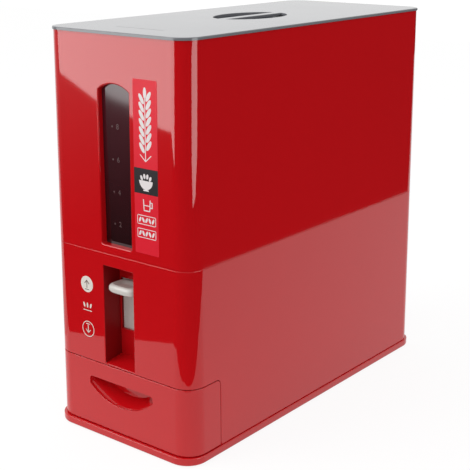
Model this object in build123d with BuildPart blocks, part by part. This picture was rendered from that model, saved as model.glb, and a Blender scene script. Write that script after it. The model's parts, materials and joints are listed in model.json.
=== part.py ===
"""Measuring rice dispenser: a case in two halves, with a tank, a lever-driven measuring drum and a drawer."""

import os
from math import acos, atan, cos, degrees, pi, radians, sin, tan

from build123d import *

os.makedirs("parts", exist_ok=True)

# ---------------------------------------------------------------- driving sizes (mm), +Z up, front faces -Y

# Outer case. It narrows upwards by the same draft on all four sides.
overall_height = 380.0
case_width = 172.0  # at the top of the base tray
case_depth = 387.2
case_corner = 20.0
draft_slope = 0.01
wall = 2.5
parting_height = 182.6  # seam between the lower case and the tank
seam_gap = 0.6  # visible line round the drawer front
through = 1.0  # how far a cutter runs past what it cuts
deep_cut = 20.0  # for cutters that go through a whole wall and its collar

# Base tray
base_height = 8.4
base_side_ledge = 1.6  # how far the base stands out past the case
base_end_ledge = 3.0
foot_inset = 22.0
base_floor = 3.2
base_fit = 0.3  # between the base's inside and the case's
fence_wall = 1.8
fence_height = 2.6
fence_start_gap = 8.0  # behind the drawer front
foot_radius = 8.0
foot_proud = 0.6
foot_height = 2.0
base_edge_round = 2.4
base_top_round = 0.8

# Drawer
drawer_top = 73.9
drawer_wrap = 42.3  # how far the drawer front wraps round each side
drawer_wrap_corner = 5.0
drawer_length = 207.0
tray_height = 45.0
tray_side_gap = 8.0
runner_inset = 20.0
runner_start = 10.0
runner_length = 240.0
tray_wall = 1.8
tray_back_corner = 8.0
tray_front_gap = 0.4
tray_skin_gap = 0.05
runner_width = 4.0
runner_rise = 0.4  # above the drawer front's lower edge

# Hand hole in the drawer front
hand_width = 80.0
hand_top = 57.6
hand_bottom = 35.0
hand_end_height = 50.0
hand_corner = 3.6
scoop_depth = 17.0
scoop_wall = 2.0
scoop_rim_rise = 7.5  # the scoop's floor climbs this much to the back
scoop_inset = 4.0
scoop_roof = 66.0

# Lever recess in the lower case
recess_width = 37.0
recess_bottom = 75.4
recess_drop = 12.0  # below the seam
finger_room = 17.1  # above the lever pad
recess_depth = 21.6
recess_floor_rise = 3.4
recess_wall = 2.0
recess_lean = 1.0  # the case's front leans back this much up to the recess
recess_mouth = 6.5  # how far the recess's cutter starts in front of the case
slot_width = 34.0
slot_bottom = 104.0
slot_gap = 0.9  # above the pad
plate_head = 1.6  # the slide above the slot
pad_stop = 0.5  # below the pad when it is down

# Lever
pad_width = 32.8
pad_thickness = 8.0
pad_front_gap = 1.4
pad_front_bow = 2.4
pad_corner = 4.5
pad_rim = 3.4
pad_dish = 2.2
dish_slope = 2.0
plate_thickness = 2.5
plate_gap = 0.3
plate_margin = 2.5
arm_height = 20.0
rack_rise = 48.0  # arm's top above the drum's axis
rack_drop = 7.0
rack_head = 2.0  # plain arm above the rack
rack_teeth_below = 1
rack_teeth = 10

# Window
window_width = 36.8
window_x = -0.6
window_sill = 8.2  # above the seam
window_side_height = 139.0
window_rise = 6.0
window_corner = 2.0
window_setback = 6.4  # depth of the panel's face at the lower end of the window
jamb_wall = 2.2
panel_thickness = 2.0
panel_lap = 4.5
collar_start = 3.4  # behind the case's front
frame_thickness = 1.8
frame_reveal = 0.5
window_room = 0.6  # between the funnel and the window's frame
scale_x = -7.0
scale_first = 19.2  # lowest mark above the window's lower edge
scale_step = 29.3
scale_count = 4
scale_dot = 1.1
scale_bar_length = 6.0
scale_bar_offset = 9.0
scale_bar_width = 0.8

# Label and lever marks
label_left = 23.0
label_right = 50.5
label_rise = 0.7  # above the window's lower edge
label_height = 151.5
band_rise = 53.7
band_height = 22.2
label_thickness = 0.15
mark_x = -40.0
mark_radius = 7.75
mark_line = 0.7
mark_rise = 2.5  # upper mark's centre above the lever pad's underside

# Tank funnel
funnel_wall = 2.0
funnel_drop = 3.2  # the slopes' wall, measured straight down
throat_height = 140.0
throat_half_width = 52.0
throat_half_depth = 14.0
funnel_front_rise = 35.4  # above the recess, which it has to clear
funnel_side_height = 195.0
funnel_rear_height = 252.0
funnel_edge_inset = 6.0  # where the slopes end, inside the case's outline
funnel_gap = 0.4
throat_lip = 3.0
throat_root = 2.0
above_funnel = 20.0
tank_spigot_depth = 5.0
spigot_wall = 1.5
spigot_gap = 0.2
spigot_root = 3.0
spigot_overlap = 0.3

# Measuring drum and its rack drive
drum_radius = 28.0
drum_wall = 2.5
drum_inner_length = 105.6
drum_setback = 63.6  # axis behind the case's front
drum_axis_z = 108.0
pocket_floor = 11.0  # depth of the flat pocket floor below the axis
pocket_half_angle = 40.0
throat_half_angle = 32.0
outlet_angle = 202.0  # where the shroud ends in front, from +Y over the top
shroud_rear_angle = -20.0
drum_gap = 0.6
shroud_wall = 2.4
shaft_radius = 4.0
shaft_gap = 0.05
bush_wall = 2.0
cheek_wall = 3.0
cheek_drop = 24.0
collar_wall = 2.4
collar_gap = 0.4
collar_base = 22.0  # above the drum's axis
shaft_end = 2.5  # past the pinion
shaft_tail = 3.0  # past the bush on the other side
gear_module = 1.5
gear_teeth = 26
gear_width = 6.0
gear_offset = 6.0  # from the cheek's outer face to the pinion
addendum = 0.9  # in modules, as the two below
dedendum = 1.25
rack_dedendum = 1.3
flank_steps = 5
backlash = 0.35
pressure_angle = 20.0
clip_width = 1.0
clip_radius = 6.5
clip_gap = 0.3

# Housing ears and screws
ear_thickness = 3.0
ear_top = 138.0
ear_wall_gap = 5.5
ear_ahead = 12.0
ear_behind = 32.0
bracket_width = 7.5
screw_inset = 3.5
screw_end = 8.0
bracket_drop = 6.0
screw_radius = 1.75
screw_gap = 0.2
screw_head_radius = 3.6
screw_head_height = 2.2
screw_length = 7.0

# Return spring under the lever's left arm
spring_wire = 1.1
spring_coil_radius = 4.4
spring_turns = 9
spring_seat = 78.0
post_radius = 2.6
post_height = 15.0
foot_thickness = 2.5
spring_foot_half = 6.0
shelf_half = 7.0
shelf_thickness = 3.0
rib_foot = 4.0  # the rack's rib starts this far above the drawer
spring_x = -40.0
spring_setback = 15.1

# Lid
lid_edge = 2.5
lid_overhang = 1.0
lid_edge_round = 0.8
lid_line_setback = 37.9
lid_line_length = 56.0
lid_line_width = 0.8
lid_line_depth = 0.5
lid_skirt_depth = 9.0
lid_skirt_wall = 1.8
lid_skirt_gap = 0.5
seal_drop = 6.5
seal_height = 2.5
seal_gap = 0.1
grip_half_width = 30.0
grip_half_length = 44.0
grip_bar_width = 10.0
bowl_depth = 21.0
bowl_wall = 1.6
bowl_flange = 5.0
bowl_taper = 3.0

# ---------------------------------------------------------------- worked-out sizes

draft = degrees(atan(draft_slope))
front_y = -case_depth / 2
base_width = case_width + 2 * base_side_ledge
base_depth = case_depth + 2 * base_end_ledge
tray_half_width = case_width / 2 - tray_side_gap
runner_x = tray_half_width - runner_inset
window_bottom = parting_height + window_sill
window_side_top = window_bottom + window_side_height
label_low = window_bottom + label_rise
label_high = label_low + label_height
band_low = label_low + band_rise
band_high = band_low + band_height
scale_heights = [window_bottom + scale_first + step * scale_step for step in range(scale_count)]
recess_top = parting_height - recess_drop
pad_bottom = recess_top - finger_room - pad_thickness
slot_top = pad_bottom + pad_thickness + slot_gap
funnel_front_height = recess_top + funnel_front_rise
drum_axis_y = front_y + drum_setback
spring_y = front_y + spring_setback
ear_front = drum_axis_y - ear_ahead
ear_back = drum_axis_y + ear_behind
ear_reach = case_width / 2 - ear_wall_gap
screw_x = ear_reach - screw_inset
rim_height = overall_height - lid_edge
gear_radius = gear_module * gear_teeth / 2
tooth_pitch = pi * gear_module
drum_half_length = drum_inner_length / 2 + drum_wall
shroud_radius = drum_radius + drum_gap
cheek_inner = drum_half_length + drum_gap
cheek_outer = cheek_inner + cheek_wall
pinion_x = cheek_outer + gear_offset
front_inside = front_y + wall + 0.1  # just behind the front wall
recess_back = front_y + recess_depth + recess_lean
plate_front = recess_back + wall + plate_gap
plate_back = plate_front + plate_thickness
rack_line = drum_axis_y - gear_radius
plate_bottom = slot_bottom - plate_margin
plate_top = slot_top + plate_head
arm_top = drum_axis_z + rack_rise
arm_bottom = arm_top - arm_height
mark_measure_z = pad_bottom + mark_rise
mark_release_z = slot_bottom
drawer_front_top = drawer_top - seam_gap
drawer_bottom = base_height + seam_gap
wrap_y = front_y + drawer_wrap
gate_front = front_y - deep_cut / 2
runner_top = drawer_bottom + runner_rise
panel_front = front_y + (window_bottom - base_height) * draft_slope + window_setback


def case_rectangle(height, inset=0.0):
    """Width, depth and corner radius of the case's outline at a height, moved in by inset."""
    narrowing = (height - base_height) * draft_slope + inset
    return case_width - 2 * narrowing, case_depth - 2 * narrowing, case_corner - narrowing


def case_block(low, high, inset=0.0, mode=Mode.ADD):
    """A tapered block of the case's outline between two heights."""
    with BuildSketch(Plane.XY.offset(low)) as outline:
        RectangleRounded(*case_rectangle(low, inset))
    extrude(outline.sketch, amount=high - low, taper=draft, mode=mode)


def box_between(low, high, mode=Mode.ADD):
    """An upright box between two corners."""
    centre = tuple((a + b) / 2 for a, b in zip(low, high))
    with Locations(centre):
        Box(*[b - a for a, b in zip(low, high)], mode=mode)


def rod_along_x(radius, low, high, y, z, mode=Mode.ADD):
    """A round bar along X."""
    with Locations(((low + high) / 2, y, z)):
        Cylinder(radius, high - low, rotation=(0, 90, 0), mode=mode)


def front_face(x, z):
    """A plane on the sloping front face, looking out of it."""
    return Plane(
        origin=(x, front_y + (z - base_height) * draft_slope, z),
        x_dir=(1, 0, 0),
        z_dir=(0, -1, draft_slope),
    )


def window_outline(grow=0.0):
    """The window's arched outline as a face in the XZ plane, enlarged by grow."""
    left, right = window_x - window_width / 2 - grow, window_x + window_width / 2 + grow
    low, side = window_bottom - grow, window_side_top
    with BuildSketch() as outline:
        with BuildLine():
            Line((left, side), (left, low))
            Line((left, low), (right, low))
            Line((right, low), (right, side))
            ThreePointArc((right, side), (window_x, side + window_rise + grow), (left, side))
        make_face()
        fillet(outline.vertices().sort_by(Axis.Y)[:2], window_corner + grow / 2)
    return outline.sketch.faces()[0]


def hand_outline(grow=0.0):
    """The smile-shaped hand hole's outline, enlarged by grow."""
    half = hand_width / 2 + grow
    with BuildSketch() as outline:
        with BuildLine():
            Line((-half, hand_end_height), (-half, hand_top + grow))
            Line((-half, hand_top + grow), (half, hand_top + grow))
            Line((half, hand_top + grow), (half, hand_end_height))
            ThreePointArc((half, hand_end_height), (0, hand_bottom - grow), (-half, hand_end_height))
        make_face()
        fillet(outline.vertices(), hand_corner)
    return outline.sketch.faces()[0]


def on_front(face, y):
    """Stand a flat face up in the XZ plane at a depth; it extrudes towards -Y."""
    return Plane.XZ.offset(-y) * face


def save(part, label):
    """Name a finished piece and write it out."""
    part.label = label
    export_step(part, f"parts/{label}.step")


# ---------------------------------------------------------------- base

with BuildPart() as base_tray:
    with BuildSketch(Plane.XY.offset(foot_proud)):
        RectangleRounded(base_width, base_depth, case_corner + (base_width - case_width) / 2)
    extrude(amount=base_height - foot_proud)
    fillet(base_tray.edges().group_by(Axis.Z)[0], base_edge_round)
    fillet(base_tray.edges().group_by(Axis.Z)[-1], base_top_round)
    with BuildSketch(Plane.XY.offset(base_floor)):
        RectangleRounded(*case_rectangle(base_height, wall + base_fit))
    extrude(amount=base_height, mode=Mode.SUBTRACT)
    # Runners that the drawer slides on, and the fence that locates the lower case, rooted in the floor.
    fence_low = base_floor - runner_rise
    for side in (-1, 1):
        box_between(
            (side * runner_x - runner_width / 2, front_y + runner_start, fence_low),
            (side * runner_x + runner_width / 2, front_y + runner_start + runner_length, runner_top),
        )
    fence_start = wrap_y + fence_start_gap
    with BuildSketch(Plane.XY.offset(fence_low)):
        RectangleRounded(*case_rectangle(base_height, wall + base_fit))
        RectangleRounded(*case_rectangle(base_height, wall + base_fit + fence_wall), mode=Mode.SUBTRACT)
        with Locations((0, (front_y + fence_start) / 2)):
            Rectangle(case_width, fence_start - front_y, mode=Mode.SUBTRACT)
    extrude(amount=base_height + fence_height - fence_low)
    with BuildSketch():
        with GridLocations(base_width - 2 * foot_inset, base_depth - 2 * foot_inset, 2, 2):
            Circle(foot_radius)
    extrude(amount=foot_height, mode=Mode.SUBTRACT)

with BuildPart() as rubber_feet:
    with BuildSketch():
        with GridLocations(base_width - 2 * foot_inset, base_depth - 2 * foot_inset, 2, 2):
            Circle(foot_radius)
    extrude(amount=foot_height)

# ---------------------------------------------------------------- lower case

with BuildPart() as lower_case:
    case_block(base_height, parting_height)
    case_block(base_height, parting_height, wall, Mode.SUBTRACT)
    # Housing of the lever recess, standing in from the front wall.
    box_between(
        (-recess_width / 2 - recess_wall, front_inside, drawer_top),
        (recess_width / 2 + recess_wall, recess_back + wall, recess_top + recess_wall),
    )
    with BuildSketch(Plane.YZ):
        with BuildLine():
            Polyline(
                (front_y - recess_mouth, recess_bottom - recess_floor_rise * recess_mouth / recess_depth),
                (recess_back, recess_bottom + recess_floor_rise),
                (recess_back, recess_top),
                (front_y - recess_mouth, recess_top),
                close=True,
            )
        make_face()
    extrude(amount=recess_width / 2, both=True, mode=Mode.SUBTRACT)
    # Slot that the lever's neck moves in.
    box_between(
        (-slot_width / 2, recess_back - through, slot_bottom),
        (slot_width / 2, recess_back + wall + through, slot_top),
        Mode.SUBTRACT,
    )
    # Rib that backs the rack, and the shelf and post that carry the return spring.
    box_between(
        (-pinion_x - gear_width / 2, front_inside, drawer_top + rib_foot),
        (-pinion_x + gear_width / 2, plate_front - plate_gap, arm_top),
    )
    box_between(
        (spring_x - shelf_half, front_inside, spring_seat - shelf_thickness),
        (spring_x + shelf_half, spring_y + shelf_half, spring_seat),
    )
    with Locations((spring_x, spring_y, spring_seat + post_height / 2)):
        Cylinder(post_radius, post_height)
    # Brackets for the drum housing's ears.
    bracket_in, bracket_out = ear_reach - bracket_width, ear_reach + ear_wall_gap - wall
    for side in (-1, 1):
        box_between(
            (min(side * bracket_in, side * bracket_out), ear_front, ear_top - ear_thickness - bracket_drop),
            (max(side * bracket_in, side * bracket_out), ear_back, ear_top - ear_thickness),
        )
        for y in (ear_front + screw_end, ear_back - screw_end):
            with Locations((side * screw_x, y, ear_top - ear_thickness - bracket_drop / 2)):
                Cylinder(screw_radius, bracket_drop + through, mode=Mode.SUBTRACT)
    # Opening for the drawer front, which wraps round both corners.
    with BuildSketch(Plane.YZ) as drawer_gate:
        with BuildLine():
            Polyline(
                (gate_front, 0), (wrap_y, 0), (wrap_y, drawer_top), (gate_front, drawer_top), close=True
            )
        make_face()
        fillet(drawer_gate.vertices().sort_by(Axis.X)[-2:].sort_by(Axis.Y)[-1], drawer_wrap_corner)
    extrude(amount=case_width, both=True, mode=Mode.SUBTRACT)

# ---------------------------------------------------------------- upper case, with its window

with BuildPart() as upper_case:
    case_block(parting_height, rim_height)
    case_block(parting_height, rim_height, wall, Mode.SUBTRACT)
    # Spigot that drops inside the lower case.
    case_block(parting_height - tank_spigot_depth, parting_height, wall + spigot_gap)
    case_block(parting_height, parting_height + spigot_root, wall - spigot_overlap)
    case_block(
        parting_height - tank_spigot_depth, parting_height + spigot_root, wall + spigot_gap + spigot_wall,
        Mode.SUBTRACT,
    )
    # Collar round the window, which carries the panel.
    collar_length = panel_front - front_y - collar_start
    extrude(on_front(window_outline(jamb_wall), panel_front), amount=-collar_length, dir=(0, 1, 0))
    extrude(on_front(window_outline(), panel_front), amount=-deep_cut, dir=(0, 1, 0), mode=Mode.SUBTRACT)

with BuildPart() as window_panel:
    extrude(on_front(window_outline(panel_lap), panel_front), amount=panel_thickness, dir=(0, 1, 0))

with BuildPart() as window_frame:
    frame_front = panel_front + panel_thickness
    for grow, mode in ((panel_lap, Mode.ADD), (frame_reveal, Mode.SUBTRACT)):
        extrude(on_front(window_outline(grow), frame_front), amount=frame_thickness, dir=(0, 1, 0), mode=mode)

with BuildPart() as scale_marks:
    with BuildSketch(Plane.XZ.offset(-panel_front)):
        with Locations(*[(scale_x, z) for z in scale_heights]):
            Circle(scale_dot)
        with Locations(*[(scale_x + scale_bar_offset, z) for z in scale_heights]):
            Rectangle(scale_bar_length, scale_bar_width)
    extrude(amount=label_thickness)

# ---------------------------------------------------------------- label and lever marks, as thin flat pieces

with BuildPart() as label_panel:
    with BuildSketch(front_face((label_left + label_right) / 2, (label_low + label_high) / 2)):
        RectangleRounded(label_right - label_left, label_high - label_low, 1.2)
    extrude(amount=label_thickness)

with BuildPart() as label_band:
    with BuildSketch(
        front_face((label_left + label_right) / 2, (band_low + band_high) / 2).offset(label_thickness)
    ):
        Rectangle(label_right - label_left, band_high - band_low)
    extrude(amount=label_thickness / 2)

with BuildPart() as mark_measure:
    with BuildSketch(front_face(mark_x, mark_measure_z)):
        Circle(mark_radius)
    extrude(amount=label_thickness)

with BuildPart() as mark_release:
    with BuildSketch(front_face(mark_x, mark_release_z)):
        Circle(mark_radius)
        Circle(mark_radius - mark_line, mode=Mode.SUBTRACT)
    extrude(amount=label_thickness)

# ---------------------------------------------------------------- tank funnel


def funnel_hollow(lower, mode=Mode.ADD):
    """The space above the funnel's four slopes, moved down by lower."""
    half_depth, side = throat_half_depth, case_width / 2 - funnel_edge_inset
    front, rear = front_y + funnel_edge_inset, -front_y - funnel_edge_inset
    top = funnel_rear_height + above_funnel
    with BuildSketch(Plane.YZ) as side_view:
        with BuildLine():
            Polyline(
                (drum_axis_y - half_depth, throat_height - lower),
                (drum_axis_y + half_depth, throat_height - lower),
                (rear, funnel_rear_height - lower),
                (rear, top),
                (front, top),
                (front, funnel_front_height - lower),
                close=True,
            )
        make_face()
    with BuildPart() as along:
        extrude(side_view.sketch, amount=case_width, both=True)
    with BuildSketch(Plane.XZ) as front_view:
        with BuildLine():
            Polyline(
                (-throat_half_width, throat_height - lower),
                (throat_half_width, throat_height - lower),
                (side, funnel_side_height - lower),
                (side, top),
                (-side, top),
                (-side, funnel_side_height - lower),
                close=True,
            )
        make_face()
    with BuildPart() as across:
        extrude(front_view.sketch, amount=case_depth, both=True)
    return along.part & across.part


with BuildPart() as hopper_funnel:
    add(funnel_hollow(funnel_drop))
    case_block(
        throat_height - above_funnel / 2, funnel_rear_height + above_funnel / 2,
        wall + spigot_gap + spigot_wall + funnel_gap, Mode.INTERSECT,
    )
    lip_x, lip_y = throat_half_width + funnel_wall, throat_half_depth + funnel_wall
    box_between(
        (-lip_x, drum_axis_y - lip_y, throat_height - throat_lip),
        (lip_x, drum_axis_y + lip_y, throat_height + throat_root),
    )
    add(funnel_hollow(0), mode=Mode.SUBTRACT)
    box_between(
        (-throat_half_width, drum_axis_y - throat_half_depth, throat_height - throat_lip - through),
        (throat_half_width, drum_axis_y + throat_half_depth, throat_height + throat_root + through),
        Mode.SUBTRACT,
    )
    # Room for the window's panel and frame.
    room_half = window_width / 2 + panel_lap + window_room
    room_back = panel_front + panel_thickness + frame_thickness + window_room
    box_between(
        (window_x - room_half, front_y, window_bottom - panel_lap - window_room),
        (window_x + room_half, room_back, funnel_rear_height),
        Mode.SUBTRACT,
    )

# ---------------------------------------------------------------- measuring drum and its housing


def arc_band(inner, outer, first, last):
    """A ring sector round the drum's axis in the YZ plane; angles run from +Y over the top."""
    points = [
        (drum_axis_y + r * cos(radians(a)), drum_axis_z + r * sin(radians(a)))
        for r, a in (
            (inner, first), (inner, (first + last) / 2), (inner, last),
            (outer, last), (outer, (first + last) / 2), (outer, first),
        )
    ]
    with BuildSketch() as band:
        with BuildLine():
            ThreePointArc(*points[:3])
            Line(points[2], points[3])
            ThreePointArc(*points[3:])
            Line(points[5], points[0])
        make_face()
    return band.sketch.faces()[0]


def across_case(face, low, high, mode=Mode.ADD):
    """Extrude a face drawn in the YZ plane from one X to another."""
    extrude(Plane.YZ.offset(low) * face, amount=high - low, dir=(1, 0, 0), mode=mode)


collar_half_depth = throat_half_depth + funnel_wall + collar_gap
collar_top = throat_height - funnel_drop - collar_gap

with BuildPart() as drum_housing:
    across_case(
        arc_band(shroud_radius, shroud_radius + shroud_wall, 90 + throat_half_angle, outlet_angle),
        -cheek_inner, cheek_inner,
    )
    across_case(
        arc_band(shroud_radius, shroud_radius + shroud_wall, shroud_rear_angle, 90 - throat_half_angle),
        -cheek_inner, cheek_inner,
    )
    for side in (-1, 1):
        inner, outer = side * cheek_inner, side * cheek_outer
        box_between(
            (min(inner, outer), drum_axis_y - shroud_radius - shroud_wall, drum_axis_z - cheek_drop),
            (max(inner, outer), drum_axis_y + shroud_radius + shroud_wall, ear_top),
        )
        far = side * ear_reach
        box_between(
            (min(outer, far), ear_front, ear_top - ear_thickness), (max(outer, far), ear_back, ear_top)
        )
        rod_along_x(
            shaft_radius + shaft_gap + bush_wall,
            min(outer, outer + side * bush_wall), max(outer, outer + side * bush_wall),
            drum_axis_y, drum_axis_z,
        )
        for y in (ear_front + screw_end, ear_back - screw_end):
            with Locations((side * screw_x, y, ear_top - ear_thickness / 2)):
                Cylinder(screw_radius + screw_gap, ear_thickness + through, mode=Mode.SUBTRACT)
    # Collar walls that take the funnel's throat.
    for low, high in (
        (drum_axis_y - collar_half_depth - collar_wall, drum_axis_y - collar_half_depth),
        (drum_axis_y + collar_half_depth, drum_axis_y + collar_half_depth + collar_wall),
    ):
        box_between((-cheek_inner, low, drum_axis_z + collar_base), (cheek_inner, high, collar_top))
    rod_along_x(shroud_radius, -cheek_inner, cheek_inner, drum_axis_y, drum_axis_z, Mode.SUBTRACT)
    rod_along_x(
        shaft_radius + shaft_gap, -cheek_outer - bush_wall - through, cheek_outer + bush_wall + through,
        drum_axis_y, drum_axis_z, Mode.SUBTRACT,
    )

with BuildPart() as housing_screws:
    for side in (-1, 1):
        for y in (ear_front + screw_end, ear_back - screw_end):
            with Locations((side * screw_x, y, ear_top - screw_length / 2)):
                Cylinder(screw_radius, screw_length)
            with Locations((side * screw_x, y, ear_top + screw_head_height / 2)):
                Cylinder(screw_head_radius, screw_head_height)

with BuildPart() as measuring_drum:
    rod_along_x(drum_radius, -drum_half_length, drum_half_length, drum_axis_y, drum_axis_z)
    # The pocket: round inside, with a flat floor, open over the top.
    with BuildSketch() as pocket:
        with Locations((drum_axis_y, drum_axis_z)):
            Circle(drum_radius - drum_wall)
        with Locations((drum_axis_y, drum_axis_z - pocket_floor - drum_radius)):
            Rectangle(2 * drum_radius, 2 * drum_radius, mode=Mode.SUBTRACT)
    across_case(pocket.sketch.faces()[0], -drum_inner_length / 2, drum_inner_length / 2, Mode.SUBTRACT)
    mouth_inner, mouth_outer = drum_radius - drum_wall - through, drum_radius + through
    mouth = arc_band(mouth_inner, mouth_outer, 90 - pocket_half_angle, 90 + pocket_half_angle)
    across_case(mouth, -drum_inner_length / 2, drum_inner_length / 2, Mode.SUBTRACT)
    for low, high in (
        (-pinion_x - gear_width / 2 - shaft_end, -drum_half_length),
        (drum_half_length, cheek_outer + bush_wall + shaft_tail),
    ):
        rod_along_x(shaft_radius, low, high, drum_axis_y, drum_axis_z)

# Pinion with involute teeth; a tooth points straight at the rack.
base_radius = gear_radius * cos(radians(pressure_angle))


def involute(radius):
    """The angle that an involute has turned through by a radius."""
    roll = acos(min(1.0, base_radius / radius))
    return tan(roll) - roll


half_tooth = (tooth_pitch / 2 - backlash / 2) / 2 / gear_radius
flank_start = base_radius + 0.02
flank_rise = gear_radius + gear_module * addendum - flank_start
flank_radii = [flank_start + flank_rise * step / (flank_steps - 1) for step in range(flank_steps)]
root_radius = gear_radius - dedendum * gear_module
gear_points = []
for tooth in range(gear_teeth):
    middle = 2 * pi * tooth / gear_teeth
    flank = [(r, half_tooth + involute(gear_radius) - involute(r)) for r in flank_radii]
    flank = [(root_radius, flank[0][1] + 0.01)] + flank
    for radius, angle in [(r, -a) for r, a in flank] + [(r, a) for r, a in reversed(flank)]:
        gear_points.append(
            (drum_axis_y + radius * cos(middle + angle), drum_axis_z + radius * sin(middle + angle))
        )

with BuildPart() as drum_pinion:
    with BuildSketch() as gear_outline:
        with BuildLine():
            Polyline(*gear_points, close=True)
        make_face()
    across_case(gear_outline.sketch.faces()[0], -pinion_x - gear_width / 2, -pinion_x + gear_width / 2)
    bore = (-pinion_x - gear_width, -pinion_x + gear_width)
    rod_along_x(shaft_radius, *bore, drum_axis_y, drum_axis_z, Mode.SUBTRACT)

with BuildPart() as drum_clip:
    clip_at = cheek_outer + bush_wall + clip_gap
    rod_along_x(clip_radius, clip_at, clip_at + clip_width, drum_axis_y, drum_axis_z)
    clip_bore = (clip_at - through, clip_at + clip_width + through)
    rod_along_x(shaft_radius, *clip_bore, drum_axis_y, drum_axis_z, Mode.SUBTRACT)

# ---------------------------------------------------------------- lever and its slide

pad_shoulder = front_y + pad_front_gap + pad_front_bow
dish_depth = (recess_depth - pad_front_gap) / 2 - pad_rim
dish_y = front_y + pad_front_gap + pad_rim + dish_depth

with BuildPart() as lever_pad:
    with BuildSketch(Plane.XY.offset(pad_bottom)) as pad_plan:
        with BuildLine():
            Line((-pad_width / 2, plate_front), (pad_width / 2, plate_front))
            Line((pad_width / 2, plate_front), (pad_width / 2, pad_shoulder))
            ThreePointArc(
                (pad_width / 2, pad_shoulder), (0, front_y + pad_front_gap), (-pad_width / 2, pad_shoulder)
            )
            Line((-pad_width / 2, pad_shoulder), (-pad_width / 2, plate_front))
        make_face()
        fillet(pad_plan.vertices().sort_by(Axis.Y)[:2], pad_corner)
    extrude(amount=pad_thickness)
    with BuildSketch(Plane.XY.offset(pad_bottom + pad_thickness)):
        with Locations((0, dish_y)):
            Ellipse(pad_width / 2 - pad_rim, dish_depth)
    with BuildSketch(Plane.XY.offset(pad_bottom + pad_thickness - pad_dish)):
        with Locations((0, dish_y)):
            Ellipse(pad_width / 2 - pad_rim - dish_slope, dish_depth - dish_slope)
    loft(mode=Mode.SUBTRACT)

with BuildPart() as lever_slide:
    half_plate = slot_width / 2 + plate_margin
    box_between((-half_plate, plate_front, plate_bottom), (half_plate, plate_back, plate_top))
    # Arm out to the rack, and the foot that the spring pushes up.
    box_between(
        (-pinion_x - gear_width / 2, plate_front, arm_bottom), (-half_plate + through, plate_back, arm_top)
    )
    box_between(
        (spring_x - spring_foot_half, spring_y - spring_foot_half, arm_bottom),
        (spring_x + spring_foot_half, plate_front + through, arm_bottom + foot_thickness),
    )
    # Rack: trapezoid teeth, with a space level with the drum's axis at rest.
    tooth_tip = rack_line + gear_module * addendum
    tooth_root = rack_line - gear_module * rack_dedendum
    slope = tan(radians(pressure_angle))
    half_space = (tooth_pitch / 2 - backlash / 2) / 2
    root_half = half_space + gear_module * rack_dedendum * slope
    tip_half = half_space - gear_module * addendum * slope
    rack_points = [(plate_front, drum_axis_z - rack_drop), (tooth_root, drum_axis_z - rack_drop)]
    for tooth in range(rack_teeth):
        z = drum_axis_z + (tooth - rack_teeth_below + 0.5) * tooth_pitch
        rack_points += [
            (tooth_root, z - root_half), (tooth_tip, z - tip_half),
            (tooth_tip, z + tip_half), (tooth_root, z + root_half),
        ]
    rack_points += [(tooth_root, arm_top - rack_head), (plate_front, arm_top - rack_head)]
    with BuildSketch() as rack_outline:
        with BuildLine():
            Polyline(*rack_points, close=True)
        make_face()
    across_case(rack_outline.sketch.faces()[0], -pinion_x - gear_width / 2, -pinion_x + gear_width / 2)

with BuildPart() as return_spring:
    spring_low = spring_seat + spring_wire / 2
    spring_length = arm_bottom - spring_seat - spring_wire
    with BuildLine() as coil:
        Helix(
            spring_length / spring_turns, spring_length, spring_coil_radius,
            center=(spring_x, spring_y, spring_low),
        )
    with BuildSketch(Plane(origin=coil.line @ 0, z_dir=coil.line % 0)):
        Circle(spring_wire / 2)
    sweep(path=coil.line)

# ---------------------------------------------------------------- drawer

with BuildPart() as drawer_front:
    case_block(base_height, drawer_top)
    case_block(base_height, drawer_top, wall, Mode.SUBTRACT)
    with BuildSketch(Plane.YZ) as keep:
        with BuildLine():
            Polyline(
                (gate_front, drawer_bottom), (wrap_y - seam_gap, drawer_bottom),
                (wrap_y - seam_gap, drawer_front_top), (gate_front, drawer_front_top), close=True,
            )
        make_face()
        fillet(keep.vertices().sort_by(Axis.X)[-2:].sort_by(Axis.Y)[-1], drawer_wrap_corner - seam_gap)
    extrude(amount=case_width, both=True, mode=Mode.INTERSECT)
    hand_face = on_front(hand_outline(), front_y + deep_cut / 2)
    extrude(hand_face, amount=-deep_cut, dir=(0, 1, 0), mode=Mode.SUBTRACT)

scoop_front = front_y + wall


def scoop_section(y, inset, low, grow):
    """The scoop's outline at a depth: the hand hole's curve below, straight sides and a flat roof."""
    half = hand_width / 2 - inset + grow
    side = hand_end_height + low - hand_bottom
    with BuildSketch(Plane.XZ.offset(-y)) as outline:
        with BuildLine():
            Line((-half, side), (-half, scoop_roof + grow))
            Line((-half, scoop_roof + grow), (half, scoop_roof + grow))
            Line((half, scoop_roof + grow), (half, side))
            ThreePointArc((half, side), (0, low - grow), (-half, side))
        make_face()
    return outline.sketch.faces()[0]


scoop_back = front_y + scoop_depth
with BuildPart() as handle_scoop:
    loft(
        [
            scoop_section(scoop_front - through, 0, hand_bottom, scoop_wall),
            scoop_section(scoop_back, scoop_inset, hand_bottom + scoop_rim_rise, scoop_wall),
        ]
    )
    case_block(base_height, drawer_top, wall, Mode.INTERSECT)
    loft(
        [
            scoop_section(scoop_front - through, 0, hand_bottom, 0),
            scoop_section(scoop_back - scoop_wall, scoop_inset, hand_bottom + scoop_rim_rise, 0),
        ],
        mode=Mode.SUBTRACT,
    )

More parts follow.
